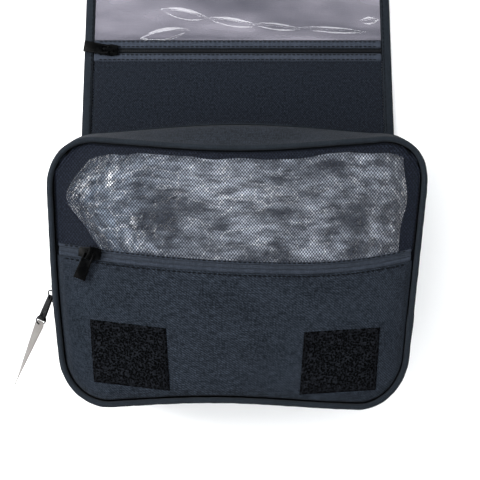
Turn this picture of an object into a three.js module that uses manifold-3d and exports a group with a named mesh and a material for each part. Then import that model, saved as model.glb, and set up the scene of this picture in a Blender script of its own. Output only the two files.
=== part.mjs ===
// A hanging toiletry bag, opened out flat on its back: a padded box pouch with a net-fronted pocket,
// a fold-over flap carrying a net pocket and a clear pocket, and a swivel hook at the far end.
// Millimetres. +X is the wearer's right of the front, +Y runs towards the hook, +Z out of the front.
// The origin is the middle of the pouch's flat back.
import * as THREE from 'three';
import { mergeVertices } from 'three/addons/utils/BufferGeometryUtils.js';
import Module from 'manifold-3d';

const wasm = await Module();
wasm.setup();

// ---- Pouch ----
const HALF_WIDTH = 125;          // to the middle of the piping, at the widest place
const HALF_HEIGHT = 90;
const CORNER = 33;               // corner radius of the outline
const TAPER = 0.00085;           // share of the width lost for each millimetre below TAPER_FROM
const TAPER_FROM = 55;
const SIDE_BULGE = 6.5;          // the stuffed gusset swells past the piping at mid depth
const TOP_BULGE = 8.5;           // and swells further in the middle of the top
const TOP_SAG = 6.5;             // the front's top edge sags in the middle
const BOTTOM_BULGE = 3;          // and less along the bottom half
const SLUMP = 4.7;               // the lower left hangs out further
const SLUMP_FROM = 90;
const SLUMP_OVER = 122;
const BOTTOM_RISE = 4.6;         // the front's bottom edge arches up
const BOTTOM_RISE_X = -20;       // where the arch is highest
const BOTTOM_RISE_Y = { from: -20, over: 70 };
const CORNER_FILL = { left: 1.4, right: 2.6 };   // the top corners are pushed out squarer
const PUFF = 4;                  // the front face swells outward in its middle
const PIPING = 2.1;              // radius of the covered cord
const BACK_PIPING_Z = 2.6;
const BACK_GUSSET = [5.5, 37.8];
const FRONT_GUSSET = [51.2, 77.6];
const FRONT_PIPING_Z = 80.5;
const WALL = 1.8;                // gusset cloth with its thin foam
const LINING = 0.8;
const LOFT = 1.1;                // loose space between the gusset's cloth and its lining
const GAP = 0.3;                 // between pieces that are sewn face to face
const BACK_CLOTH = [0, 1.3];
const BACK_FOAM = [1.6, 4.3];
const BACK_LINING = [5.5, 6.3];
const SHEET_INSET = 4.9;         // flat sheets stop inside the walls and the piping
const HINGE_Z = 44.6;            // height of the zip's middle and of the fold line along the bottom
const BACK_COIL = [43.5, HINGE_Z - GAP / 2];
const FRONT_COIL = [HINGE_Z + GAP / 2, 45.7];
const ZIP_LEG_END = -54;         // how far down each side the main zip runs

// ---- Front face, heights before the puff is added ----
const FACE = 79.8;               // underside of the cloth layers on the front
const ZIP_LOW = { x: 45, y: 3.6 };   // the front zip's lowest point, which the contents pull to one side
const ZIP_LEFT = { x: -112, rise: 11.5 };
const ZIP_RIGHT = { x: 109, rise: 6.3 };
const ZIP_HEM = 3.6;             // the net's hem and the welt reach this far from the zip's middle
const ZIP_WELT = 4.4;
const ZIP_TAPE = [78.7, 79.2];
const PANEL = [79.5, 80.8];
const WINDOW = [FACE, 80.4];
const ZIP_COIL = [FACE, 81.2];
const ZIP_EDGE = [FACE, 81];     // the net's hem
const WELT = [FACE, 81.4];
const DIVIDER = [72, 72.8];
const FILM = [73.2, 78.4];
const FILM_EDGE = { side: 8, bottom: 0.82, top: 0.95 };   // the film stops short of the pocket's edges
const TAPE_INSET = [0.2, 1.4];   // zip tape, from the outside of the wall inwards
const COIL_INSET = [-0.2, 1.6];  // coil, which stands proud of its tape on both sides
const COIL = 1.5;                // half width of a closed coil
const BAND = 8;                  // half width of a zip's tapes
const PANEL_INSET = 3.9;         // the front's cloth stops short of the piping
const PATCH = { width: 51, height: 42, thick: 1.7 };
const HOOK_PATCHES = {               // middle, and how its edges stray from square on the soft cloth
  left: { x: -72, y: -55, tilt: -0.115, lean: -0.06 },
  right: { x: 68.5, y: -59, tilt: 0.06, lean: 0.066 },
};

// ---- Flap ----
const FLAP_ROOT = 96.5;         // where the flap is sewn to the back
const FOLD_ONE = 106;            // Y of the fold behind the pouch's top
const FOLD_TWO = 191;            // Y of the fold that lies over the front's top edge
const FLAP_END = 386;
const FLAP_HALF = 115;           // beyond FLAP_NARROW
const FLAP_NARROW = 204;
const FLAP_SPREAD = 0.036;       // extra half width for each millimetre nearer the pouch
const FLAP_CORNER = 22;
const BINDING = 7;
const BINDING_TOP = 5.2;
const SHELL = [1, 2.6];          // flap cloth and its thin foam
const NET = [3.6, 4.2];
const HEM = [3.5, 4.8];
const TAPE = [2.9, 3.2];
const CLEAR = [3.7, 4.1];
const NET_ZIP = 165.6;
const CLEAR_ZIP = 321;
const HEM_WIDTH = 6.2;

// ---- Zip hardware ----
const SLIDER = { length: 15, width: 9, plate: 1.9, bail: 8.6, bar: 1.6, rise: 2.9, wall: 0.9 };
const NOSE = { wide: 0.38, narrow: 0.32, at: 0.15 };   // the plate's ends, as shares of its width and length
const PULL = { length: 18.5, root: 7, tip: 8.4, thick: 1.3, hole: 4, rim: 1, end: 1.6 };
const SLIDER_LIFT = 0.7;         // clearance between a slider and the coil under it
const FRONT_SLIDER_X = -99;
const FRONT_PULL_TURN = -104;    // degrees from the zip's direction
const FLAP_SLIDER_IN = 18.6;     // from the flap's edge
const FLAP_PULL_TURN = 171;
const MAIN_SLIDER_Y = -17;
const MAIN_PULL_LIFT = 26;       // degrees, so the pull and its tag hang away from the side
const MAIN_TILT = 0.32;          // the slider on the side faces partly to the front
const MAIN_SLIDER_OUT = 2;
const TAG = { length: 48, width: 22, eye: 1.9, neck: 2.6, loop: 3.2, cord: 0.5, thick: 0.5, roll: 0.12 };

// ---- Hook ----
const HOOK_Z = 4.6;              // the swivel's axis, lying just clear of the ground
const HOOK = {
  bar: 400, barrel: 405.4, ring: 14, wire: 2.1, sweep: 205, step: 14.75,
  stem: 1.5, headRadius: 2.7, headHeight: 1.4,
};
const STRAP = { bore: 1.75, thick: 1.1, width: 20 };
const FRAME = { half: 14, thick: 2.2, side: 3, neck: 8, barrelRadius: 4, barrelLength: 6, bore: 1.9 };

function finish(roughness, colour, metalness = 0) {
  return new THREE.MeshStandardMaterial({ color: colour, roughness, metalness });
}

const cloth = () => finish(0.9, 0x2f363e);
const trim = () => finish(0.85, 0x262c33);
const lining = () => finish(0.8, 0x1d2126);
const foam = () => finish(0.95, 0xb9bcc0);
const net = () => finish(0.8, 0x23293a);
const coil = () => finish(0.45, 0x15181c);
const fuzzy = () => finish(1, 0x121316);
const clear = () => finish(0.1, 0xc4c8d2);
const glossyBlack = () => finish(0.25, 0x0b0c0e);

const bag = new THREE.Group();

/** Adds one named sub-part. */
function part(name, geometry, material, place = bag) {
  const mesh = new THREE.Mesh(geometry, material);
  mesh.name = name;
  place.add(mesh);
  return mesh;
}

const smooth = (t) => THREE.MathUtils.smoothstep(t, 0, 1);

/** Swell of the gusset at a height, 0 at the front and back faces and 1 at mid depth. */
function swell(z) {
  return Math.sin(Math.PI * THREE.MathUtils.clamp(z / (FRONT_PIPING_Z + 1), 0, 1));
}

/** Share of a sideways place that belongs to the middle of the top edge. */
function topMiddle(x, y) {
  const across = THREE.MathUtils.clamp(x / HALF_WIDTH, -1, 1);
  return smooth(y / HALF_HEIGHT) * Math.cos(Math.PI / 2 * across) ** 2;
}

/** Share of a place that belongs to the arched stretch of the bottom edge. */
function bottomMiddle(x, y) {
  const across = THREE.MathUtils.clamp((x - BOTTOM_RISE_X) / HALF_WIDTH, -1, 1);
  return smooth((BOTTOM_RISE_Y.from - y) / BOTTOM_RISE_Y.over) * Math.cos(Math.PI / 2 * across) ** 2;
}

/** How far a place in one of the top corners is pushed outward, along X and along Y alike. */
function cornerPush(x, y) {
  const side = THREE.MathUtils.clamp((Math.abs(x) - HALF_WIDTH + CORNER) / CORNER, 0, 1);
  const top = THREE.MathUtils.clamp((y - HALF_HEIGHT + CORNER) / CORNER, 0, 1);
  return 2 * side * top * (x < 0 ? CORNER_FILL.left : CORNER_FILL.right);
}

/** Moves a point of the plain box pouch to its place on the stuffed, sagging one. */
function stuffed(x, y, z) {
  const width = (1 - TAPER * Math.max(0, TAPER_FROM - y)) * (1 + SIDE_BULGE * swell(z) / HALF_WIDTH);
  const height = 1 + (y < 0 ? BOTTOM_BULGE : SIDE_BULGE) * swell(z) / HALF_HEIGHT;
  const front = smooth((z - HINGE_Z) / (FRONT_PIPING_Z - HINGE_Z));
  const lift = (TOP_BULGE * swell(z) - TOP_SAG * front) * topMiddle(x, y);
  const rise = BOTTOM_RISE * front * bottomMiddle(x, y);
  const low = smooth(z / HINGE_Z) * smooth((SLUMP_FROM - y) / SLUMP_OVER);
  const slump = SLUMP * low * Math.min(0, x / HALF_WIDTH);
  const push = cornerPush(x, y);
  return new THREE.Vector3(x * width + slump + Math.sign(x) * push, y * height + lift + rise + push, z);
}

/** Outward swell of the front face. */
function puff(x, y) {
  return PUFF * Math.max(0, 1 - (x / HALF_WIDTH) ** 2) * Math.max(0, 1 - (y / HALF_HEIGHT) ** 2);
}

/** Middle line of the front zip. */
function zipLine(x) {
  const end = x < ZIP_LOW.x ? ZIP_LEFT : ZIP_RIGHT;
  return ZIP_LOW.y + end.rise * ((x - ZIP_LOW.x) / (end.x - ZIP_LOW.x)) ** 2;
}

/** Moves every vertex of a geometry by a function of its place. */
function bend(geometry, move) {
  const position = geometry.attributes.position;
  const point = new THREE.Vector3();
  for (let i = 0; i < position.count; i += 1) {
    point.fromBufferAttribute(position, i);
    const moved = move(point.x, point.y, point.z);
    position.setXYZ(i, moved.x, moved.y, moved.z);
  }
  geometry.computeVertexNormals();
  return geometry;
}

/** Points along the pouch outline: all of it, or its run over the top or under the bottom. */
function outline(inset, run = 'whole') {
  const w = HALF_WIDTH - inset;
  const h = HALF_HEIGHT - inset;
  const r = CORNER - inset;
  const path = new THREE.Path();
  const overTop = () => {
    path.lineTo(w, h - r);
    path.absarc(w - r, h - r, r, 0, Math.PI / 2);
    path.lineTo(-w + r, h);
    path.absarc(-w + r, h - r, r, Math.PI / 2, Math.PI);
  };
  const underBottom = () => {
    path.lineTo(-w, -h + r);
    path.absarc(-w + r, -h + r, r, Math.PI, 1.5 * Math.PI);
    path.lineTo(w - r, -h);
    path.absarc(w - r, -h + r, r, -Math.PI / 2, 0);
  };
  if (run === 'under') {
    path.moveTo(-w, ZIP_LEG_END - GAP);
    underBottom();
    path.lineTo(w, ZIP_LEG_END - GAP);
  } else {
    path.moveTo(w, run === 'over' ? ZIP_LEG_END : -h + r);
    overTop();
    if (run === 'over') {
      path.lineTo(-w, ZIP_LEG_END);
    } else {
      underBottom();
    }
  }
  const points = path.curves.flatMap((curve) => curve.getPoints(curve.isLineCurve ? 8 : 6).slice(1));
  return run === 'whole' ? points : [path.curves[0].getPoint(0), ...points];
}

/** Points of the plain outline moved to their places on the stuffed pouch at one height. */
function stuffedOutline(z, inset, run) {
  return outline(inset, run).map((p) => {
    const moved = stuffed(p.x, p.y, z);
    return new THREE.Vector2(moved.x, moved.y);
  });
}

/** A flat sheet the shape of the pouch outline. */
function pouchSheet([low, high]) {
  return slab(stuffedOutline(low, SHEET_INSET), low, high);
}

/** A wall standing all the way round the pouch. */
function pouchWall(outer, inner, [low, high]) {
  const shape = new THREE.Shape(outline(outer));
  shape.holes.push(new THREE.Path(outline(inner)));
  const options = { depth: high - low, steps: 3, bevelEnabled: false };
  return bend(new THREE.ExtrudeGeometry(shape, options).translate(0, 0, low), stuffed);
}

/** An upright strip of the pouch's wall at mid depth, along one run of the outline between two heights. */
function wallStrip(run, [outer, inner], low, high) {
  const outside = stuffedOutline(HINGE_Z, outer, run);
  const inside = stuffedOutline(HINGE_Z, inner, run);
  return slab([...outside, ...inside.reverse()], low, high);
}

/** Covered cord all round the outline at one height, with its ends butted together. */
function piping(z, joinAt) {
  const points = outline(0);
  const turned = [...points.slice(joinAt), ...points.slice(0, joinAt)];
  const start = turned[0];
  const last = turned[turned.length - 1];
  turned.push(start.clone().lerp(last, GAP * 2 / start.distanceTo(last)));
  const curve = new THREE.CatmullRomCurve3(turned.map((p) => stuffed(p.x, p.y, z)), false, 'centripetal');
  const section = new THREE.Shape().absarc(0, 0, PIPING, 0, 2 * Math.PI);
  return new THREE.ExtrudeGeometry(section, { extrudePath: curve, steps: 72, curveSegments: 4 });
}

/** Half height of the front panel's outline at a distance from the middle. */
function frontEdge(x, inset) {
  const straight = HALF_WIDTH - CORNER;
  const r = CORNER - inset;
  const past = Math.min(Math.max(0, Math.abs(x) - straight), r);
  return HALF_HEIGHT - CORNER + Math.sqrt(r * r - past * past);
}

/** A layer of the front face between two lines, following its puffed shape. */
function frontLayer(half, lower, upper, [low, high], [across, along]) {
  const box = new THREE.BoxGeometry(2, 1, 1, across, along, 1).translate(0, 0.5, 0.5);
  return bend(box, (u, v, t) => {
    const x = half * Math.sin(u * Math.PI / 2);
    const y = THREE.MathUtils.lerp(lower(x), upper(x), v);
    const place = stuffed(x, y, FRONT_PIPING_Z);
    place.z = THREE.MathUtils.lerp(low, high, t) + puff(x, y);
    return place;
  });
}

/** A band of the front that lies beside the zip, given by its two distances from the zip's middle. */
function zipBand(from, to, heights) {
  const half = HALF_WIDTH - PANEL_INSET - 1;
  return frontLayer(half, (x) => zipLine(x) + from, (x) => zipLine(x) + to, heights, [20, 1]);
}

/** Half width of the flap. */
function flapHalf(y) {
  return FLAP_HALF + FLAP_SPREAD * Math.max(0, FLAP_NARROW - y);
}

/** A flat layer of the flap that ends inside the binding. */
function flapLayer(from, to, [low, high], margin = BINDING + GAP) {
  const box = new THREE.BoxGeometry(2, 1, 1, 1, 6, 1).translate(0, 0.5, 0.5);
  return bend(box, (u, v, t) => {
    const y = THREE.MathUtils.lerp(from, to, v);
    return new THREE.Vector3(u * (flapHalf(y) - margin), y, THREE.MathUtils.lerp(low, high, t));
  });
}

/** Outline of the far end of the flap, from one side round to the other. */
function flapEnd(margin) {
  const w = FLAP_HALF - margin;
  const r = FLAP_CORNER - margin;
  const path = new THREE.Path();
  path.moveTo(flapHalf(FOLD_TWO) - margin, FOLD_TWO + GAP);
  path.lineTo(w, FLAP_NARROW);
  path.lineTo(w, FLAP_END - margin - r);
  path.absarc(w - r, FLAP_END - margin - r, r, 0, Math.PI / 2);
  path.lineTo(-w + r, FLAP_END - margin);
  path.absarc(-w + r, FLAP_END - margin - r, r, Math.PI / 2, Math.PI);
  path.lineTo(-w, FLAP_NARROW);
  path.lineTo(-flapHalf(FOLD_TWO) + margin, FOLD_TWO + GAP);
  return path.getPoints(6);
}

function slab(points, low, high) {
  const shape = new THREE.Shape(points);
  return new THREE.ExtrudeGeometry(shape, { depth: high - low, bevelEnabled: false }).translate(0, 0, low);
}

/** A geometry as a solid that can be joined and cut. */
function solid(geometry) {
  const bare = geometry.clone();
  bare.deleteAttribute('normal');
  bare.deleteAttribute('uv');
  const merged = mergeVertices(bare, 1e-4);
  return new wasm.Manifold(new wasm.Mesh({
    numProp: 3,
    vertProperties: new Float32Array(merged.attributes.position.array),
    triVerts: new Uint32Array(merged.index.array),
  }));
}

function geometryOf(body) {
  const mesh = body.getMesh();
  const geometry = new THREE.BufferGeometry();
  geometry.setAttribute('position', new THREE.BufferAttribute(new Float32Array(mesh.vertProperties), 3));
  geometry.setIndex(new THREE.BufferAttribute(new Uint32Array(mesh.triVerts), 1));
  geometry.computeVertexNormals();
  return geometry;
}

/** A zip slider: its top plate, tapered to one end, under a bail set askew. Zip along X, outside along Z. */
function slider(skew) {
  const { length, width, plate, bail, bar, rise, wall } = SLIDER;
  const top = new THREE.Shape();
  top.moveTo(-length / 2, -width * NOSE.narrow);
  top.lineTo(length * NOSE.at, -width / 2);
  top.lineTo(length / 2, -width * NOSE.wide);
  top.lineTo(length / 2, width * NOSE.wide);
  top.lineTo(length * NOSE.at, width / 2);
  top.lineTo(-length / 2, width * NOSE.narrow);
  const body = new THREE.ExtrudeGeometry(top, { depth: plate, bevelEnabled: false });
  const half = bail / 2;
  const crown = plate + rise;
  const arch = new THREE.Shape();
  arch.moveTo(-half, plate / 2);
  arch.lineTo(-half, crown - wall);
  arch.lineTo(-half + wall, crown);
  arch.lineTo(half - wall, crown);
  arch.lineTo(half, crown - wall);
  arch.lineTo(half, plate / 2);
  arch.lineTo(half - wall, plate / 2);
  arch.lineTo(half - wall, crown - wall);
  arch.lineTo(-half + wall, crown - wall);
  arch.lineTo(-half + wall, plate / 2);
  const loop = new THREE.ExtrudeGeometry(arch, { depth: bar, bevelEnabled: false });
  loop.rotateX(Math.PI / 2).translate(0, bar / 2, 0).rotateZ(skew);
  return geometryOf(solid(body).add(solid(loop)));
}

/** A flat pull tab that points along +X from its pivot bar, at the origin. */
function pullTab(endHole = 0) {
  const { length, root, tip, thick, hole, rim, end } = PULL;
  const tab = new THREE.Shape();
  tab.moveTo(-thick / 2, -root / 2);
  tab.lineTo(length, -tip / 2);
  tab.lineTo(length, tip / 2);
  tab.lineTo(-thick / 2, root / 2);
  const eye = new THREE.Path();
  eye.moveTo(thick / 2, -root / 2 + rim);
  eye.lineTo(thick / 2, root / 2 - rim);
  eye.lineTo(thick / 2 + hole, root / 2 - rim);
  eye.lineTo(thick / 2 + hole, -root / 2 + rim);
  tab.holes.push(eye);
  if (endHole > 0) {
    tab.holes.push(new THREE.Path().absarc(length - endHole - end, 0, endHole, 0, 2 * Math.PI));
  }
  const geometry = new THREE.ExtrudeGeometry(tab, { depth: thick, bevelEnabled: false, curveSegments: 8 });
  return geometry.translate(0, 0, -thick / 2);
}

/** A slider on its zip and the pull tab in its bail: the tab's turn on the slider and its lift off it. */
function zipHardware(name, place, turn, lift = 0, endHole = 0) {
  bag.add(place);
  part(`${name}_slider`, slider(turn), glossyBlack(), place);
  const tab = part(`${name}_pull_tab`, pullTab(endHole), glossyBlack(), place);
  tab.position.z = SLIDER.plate + GAP + PULL.thick / 2;
  tab.rotation.set(0, -lift, turn, 'ZYX');
  return tab;
}

// ---- The back half of the pouch ----
function backHalf() {
  part('back_panel', pouchSheet(BACK_CLOTH), cloth());
  part('back_panel_foam', pouchSheet(BACK_FOAM), foam());
  part('back_panel_lining', pouchSheet(BACK_LINING), lining());
  part('back_piping', piping(BACK_PIPING_Z, 0), trim());
  part('back_gusset', pouchWall(0, WALL, BACK_GUSSET), cloth());
  part('back_gusset_lining', pouchWall(WALL + LOFT, WALL + LOFT + LINING, BACK_GUSSET), lining());
  part('main_zip_back_tape', wallStrip('over', TAPE_INSET, BACK_GUSSET[1] + GAP, BACK_COIL[0] - GAP), trim());
  part('main_zip_back_coil', wallStrip('over', COIL_INSET, ...BACK_COIL), coil());
  part('lower_gusset_back', wallStrip('under', [0, WALL], BACK_GUSSET[1] + GAP, BACK_COIL[1]), cloth());
  part('flap_root_panel', flapLayer(FLAP_ROOT, FOLD_ONE - GAP, SHELL, 0), cloth());
}

// ---- The front half of the pouch, which opens as a lid ----
function frontHalf() {
  const half = HALF_WIDTH - PANEL_INSET;
  const edge = (x) => frontEdge(x, PANEL_INSET);
  const bottom = (x) => -edge(x);
  part('front_gusset', pouchWall(0, WALL, FRONT_GUSSET), cloth());
  part('front_gusset_lining', pouchWall(WALL + LOFT, WALL + LOFT + LINING, FRONT_GUSSET), lining());
  const frontTape = wallStrip('over', TAPE_INSET, FRONT_COIL[1] + GAP, FRONT_GUSSET[0] - GAP);
  part('main_zip_front_tape', frontTape, trim());
  part('main_zip_front_coil', wallStrip('over', COIL_INSET, ...FRONT_COIL), coil());
  part('lower_gusset_front', wallStrip('under', [0, WALL], FRONT_COIL[0], FRONT_GUSSET[0] - GAP), cloth());
  part('front_piping', piping(FRONT_PIPING_Z, 12), trim());
  part('pocket_divider', pouchSheet(DIVIDER), lining());
  const filmBottom = (x) => -edge(x) * FILM_EDGE.bottom;
  const filmTop = (x) => edge(x) * FILM_EDGE.top;
  const packing = frontLayer(half - FILM_EDGE.side, filmBottom, filmTop, FILM, [16, 6]);
  part('pocket_packing_film', packing, finish(0.25, 0xc9d0d8));
  part('front_zip_tape', zipBand(-BAND, ZIP_HEM, ZIP_TAPE), trim());
  part('front_zip_coil', zipBand(-COIL, COIL, ZIP_COIL), coil());
  part('mesh_window_hem', zipBand(COIL + GAP, ZIP_HEM, ZIP_EDGE), trim());
  part('front_pocket_welt', zipBand(-ZIP_WELT, -COIL - GAP, WELT), cloth());
  const aboveZip = (x) => zipLine(x) + ZIP_HEM + GAP;
  const belowZip = (x) => zipLine(x) - ZIP_WELT - GAP;
  part('mesh_window', frontLayer(half, aboveZip, edge, WINDOW, [22, 5]), net());
  part('front_lower_panel', frontLayer(half, bottom, belowZip, PANEL, [22, 6]), cloth());
  for (const [name, spot] of Object.entries(HOOK_PATCHES)) {
    part(`hook_patch_${name}`, hookPatch(spot), fuzzy());
  }
}

/** One square of hook tape on the front, following the panel under it. */
function hookPatch(spot) {
  const box = new THREE.BoxGeometry(PATCH.width, PATCH.height, 1, 6, 5, 1).translate(0, 0, 0.5);
  return bend(box, (u, v, t) => {
    const x = spot.x + u + spot.lean * v;
    const y = spot.y + v + spot.tilt * u;
    const width = 1 - TAPER * (TAPER_FROM - y);
    return new THREE.Vector3(x, y, PANEL[1] + GAP + t * PATCH.thick + puff(x / width, y));
  });
}

// ---- The flap ----
function lowerFlap() {
  const bands = NET_ZIP - COIL - GAP;
  part('flap_lower_panel', flapLayer(FOLD_ONE + GAP, FOLD_TWO - GAP, SHELL), cloth());
  for (const [name, side] of [['left', -1], ['right', 1]]) {
    part(`flap_lower_binding_${name}`, sideBinding(side), trim());
  }
  part('net_pocket', flapLayer(FOLD_ONE + GAP, bands - HEM_WIDTH - GAP, NET), net());
  part('net_pocket_hem', flapLayer(bands - HEM_WIDTH, bands, HEM), trim());
  part('flap_zip_tape', flapLayer(NET_ZIP - BAND, NET_ZIP + BAND, TAPE), trim());
  part('flap_zip_coil', flapLayer(NET_ZIP - COIL, NET_ZIP + COIL, HEM), coil());
  const above = NET_ZIP + COIL + GAP;
  part('clear_pocket_band', flapLayer(above, above + HEM_WIDTH, HEM), trim());
  part('clear_pocket_lower', flapLayer(above + HEM_WIDTH + GAP, FOLD_TWO - GAP, CLEAR), clear());
}

/** The binding tape down one side of the flap's lower half. */
function sideBinding(side) {
  const from = FOLD_ONE + GAP;
  const to = FOLD_TWO - GAP;
  const outer = [flapHalf(from), flapHalf(to)];
  const points = [
    new THREE.Vector2(side * outer[0], from),
    new THREE.Vector2(side * outer[1], to),
    new THREE.Vector2(side * (outer[1] - BINDING), to),
    new THREE.Vector2(side * (outer[0] - BINDING), from),
  ];
  return slab(points, 0, BINDING_TOP);
}

function upperFlap() {
  const bands = CLEAR_ZIP - COIL - GAP;
  part('flap_upper_panel', slab(flapEnd(BINDING + GAP), ...SHELL), cloth());
  part('flap_upper_binding', slab([...flapEnd(0), ...flapEnd(BINDING).reverse()], 0, BINDING_TOP), trim());
  part('clear_pocket_upper', flapLayer(FOLD_TWO + GAP, bands - HEM_WIDTH - GAP, CLEAR), clear());
  part('clear_pocket_hem', flapLayer(bands - HEM_WIDTH, bands, HEM), trim());
  part('clear_zip_tape', flapLayer(CLEAR_ZIP - BAND, CLEAR_ZIP + BAND, TAPE), trim());
  part('clear_zip_coil', flapLayer(CLEAR_ZIP - COIL, CLEAR_ZIP + COIL, HEM), coil());
  const above = CLEAR_ZIP + COIL + GAP;
  part('flap_end_band', flapLayer(above, above + HEM_WIDTH, HEM), trim());
  for (const [name, spot] of Object.entries(HOOK_PATCHES)) {
    const patch = new THREE.BoxGeometry(PATCH.width, PATCH.height, PATCH.thick);
    patch.translate(spot.x, FOLD_TWO + FOLD_ONE - spot.y, SHELL[1] + GAP + PATCH.thick / 2);
    part(`loop_patch_${name}`, patch, fuzzy());
  }
}

// ---- The hook and what holds it ----
function hookStrap() {
  const { bore, thick, width } = STRAP;
  const outer = bore + thick;
  const start = FLAP_END + GAP;
  const loop = new THREE.Shape();
  loop.moveTo(start, -outer);
  loop.lineTo(HOOK.bar, -outer);
  loop.absarc(HOOK.bar, 0, outer, -Math.PI / 2, Math.PI / 2);
  loop.lineTo(start, outer);
  loop.lineTo(start, bore);
  loop.lineTo(HOOK.bar, bore);
  loop.absarc(HOOK.bar, 0, bore, Math.PI / 2, -Math.PI / 2, true);
  loop.lineTo(start, -bore);
  const geometry = new THREE.ExtrudeGeometry(loop, { depth: width, bevelEnabled: false, curveSegments: 8 });
  geometry.rotateX(Math.PI / 2).rotateZ(Math.PI / 2).translate(-width / 2, 0, HOOK_Z);
  part('hook_strap', geometry, trim());
}

/** The frame that the strap is sewn round, with the swivel's barrel. */
function hookFrame() {
  const { half, thick, side, neck, barrelRadius, barrelLength, bore } = FRAME;
  const shoulder = HOOK.barrel + side;
  const outer = new THREE.Shape();
  outer.moveTo(-half, HOOK.bar - thick / 2);
  outer.lineTo(half, HOOK.bar - thick / 2);
  outer.lineTo(half, HOOK.barrel);
  outer.lineTo(neck, shoulder);
  outer.lineTo(-neck, shoulder);
  outer.lineTo(-half, HOOK.barrel);
  const slot = new THREE.Path();
  slot.moveTo(-half + side, HOOK.bar + thick / 2);
  slot.lineTo(-half + side, HOOK.barrel);
  slot.lineTo(half - side, HOOK.barrel);
  slot.lineTo(half - side, HOOK.bar + thick / 2);
  outer.holes.push(slot);
  const frame = new THREE.ExtrudeGeometry(outer, { depth: thick, bevelEnabled: false });
  frame.translate(0, 0, HOOK_Z - thick / 2);
  const barrel = new THREE.CylinderGeometry(barrelRadius, barrelRadius, barrelLength, 20);
  barrel.translate(0, shoulder, HOOK_Z);
  const through = new THREE.CylinderGeometry(bore, bore, barrelLength + 4, 16).translate(0, shoulder, HOOK_Z);
  part('hook_frame', geometryOf(solid(frame).add(solid(barrel)).subtract(solid(through))), glossyBlack());
}

/** A round-wire hook on a headed stem that turns in the barrel. */
function hook() {
  const { barrel, ring, wire, stem, headRadius, headHeight, sweep, step } = HOOK;
  const neck = barrel + FRAME.barrelLength + GAP;
  const centre = neck + FRAME.side + ring;
  const points = [new THREE.Vector3(0, neck, HOOK_Z)];
  for (let turn = -90; turn <= sweep; turn += step) {
    const angle = THREE.MathUtils.degToRad(turn);
    points.push(new THREE.Vector3(ring * Math.cos(angle), centre + ring * Math.sin(angle), HOOK_Z));
  }
  const curve = new THREE.CatmullRomCurve3(points, false, 'centripetal');
  const section = new THREE.Shape().absarc(0, 0, wire, 0, 2 * Math.PI);
  const bow = new THREE.ExtrudeGeometry(section, { extrudePath: curve, steps: 44, curveSegments: 5 });
  const head = barrel - 2 * GAP;
  const top = neck + 1;
  const shaft = new THREE.CylinderGeometry(stem, stem, top - head, 12).translate(0, (top + head) / 2, HOOK_Z);
  const button = new THREE.CylinderGeometry(headRadius, headRadius, headHeight, 16);
  button.translate(0, head - headHeight / 2, HOOK_Z);
  part('hook', geometryOf(solid(bow).add(solid(shaft)).add(solid(button))), glossyBlack());
}

// ---- Zips' sliders and pulls, and the tag on one of them ----
/** A place on a zip: where it is, which way the zip runs and which way is outward. */
function seat(at, along, outward) {
  const place = new THREE.Group();
  const x = along.clone().normalize();
  const z = outward.clone().addScaledVector(x, -outward.dot(x)).normalize();
  const y = z.clone().cross(x);
  place.setRotationFromMatrix(new THREE.Matrix4().makeBasis(x, y, z));
  place.position.copy(at);
  return place;
}

/** A point on top of the front zip. */
function onFrontZip(x) {
  const place = stuffed(x, zipLine(x), FRONT_PIPING_Z);
  place.z = ZIP_COIL[1] + SLIDER_LIFT + puff(x, zipLine(x));
  return place;
}

function frontHardware() {
  const along = onFrontZip(FRONT_SLIDER_X + 1).sub(onFrontZip(FRONT_SLIDER_X - 1));
  const place = seat(onFrontZip(FRONT_SLIDER_X), along, new THREE.Vector3(0, 0, 1));
  zipHardware('front', place, THREE.MathUtils.degToRad(FRONT_PULL_TURN));
}

function flapHardware() {
  for (const [name, y] of [['flap', NET_ZIP], ['clear_pocket', CLEAR_ZIP]]) {
    const at = new THREE.Vector3(FLAP_SLIDER_IN - flapHalf(y), y, HEM[1] + GAP);
    const place = seat(at, new THREE.Vector3(1, 0, 0), new THREE.Vector3(0, 0, 1));
    zipHardware(name, place, THREE.MathUtils.degToRad(FLAP_PULL_TURN));
  }
}

/** A point outside the main zip's closed coils, down the left side. */
function onMainZip(y) {
  const place = stuffed(-HALF_WIDTH + COIL_INSET[0], y, HINGE_Z);
  place.x -= MAIN_SLIDER_OUT;
  return place;
}

function mainHardware() {
  const { length, width, eye, neck, loop, cord, thick, roll } = TAG;
  const down = onMainZip(MAIN_SLIDER_Y - 30).sub(onMainZip(MAIN_SLIDER_Y + 60));
  const place = seat(onMainZip(MAIN_SLIDER_Y), down, new THREE.Vector3(-1, 0, MAIN_TILT));
  const tab = zipHardware('main', place, 0, THREE.MathUtils.degToRad(MAIN_PULL_LIFT), eye);
  const hole = PULL.length - eye - PULL.end;
  const ring = new THREE.TorusGeometry(loop, cord, 6, 20).rotateX(Math.PI / 2);
  part('tag_loop', ring.translate(hole + loop, 0, 0), glossyBlack(), tab);
  const card = new THREE.Shape();
  card.moveTo(-neck, -width / 4);
  card.lineTo(0, -width / 2);
  card.lineTo(length - neck, -width / 2);
  card.lineTo(length - neck, width / 2);
  card.lineTo(0, width / 2);
  card.lineTo(-neck, width / 4);
  card.holes.push(new THREE.Path().absarc(0, 0, eye, 0, 2 * Math.PI));
  const sheet = new THREE.ExtrudeGeometry(card, { depth: thick, bevelEnabled: false, curveSegments: 6 });
  sheet.translate(0, 0, -thick / 2).rotateX(roll);
  part('blank_tag', sheet.translate(hole + 2 * loop, 0, 0), finish(0.5, 0xb8b6b2), tab);
}

backHalf();
frontHalf();
lowerFlap();
upperFlap();
hookStrap();
hookFrame();
hook();
frontHardware();
flapHardware();
mainHardware();

export default bag;
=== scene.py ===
"""Looks of a hanging toiletry bag that lies opened out flat on its back.

The shape functions work in millimetres and build every cloth piece on the CAD frame; meshes are in metres.
"""
import math

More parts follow.
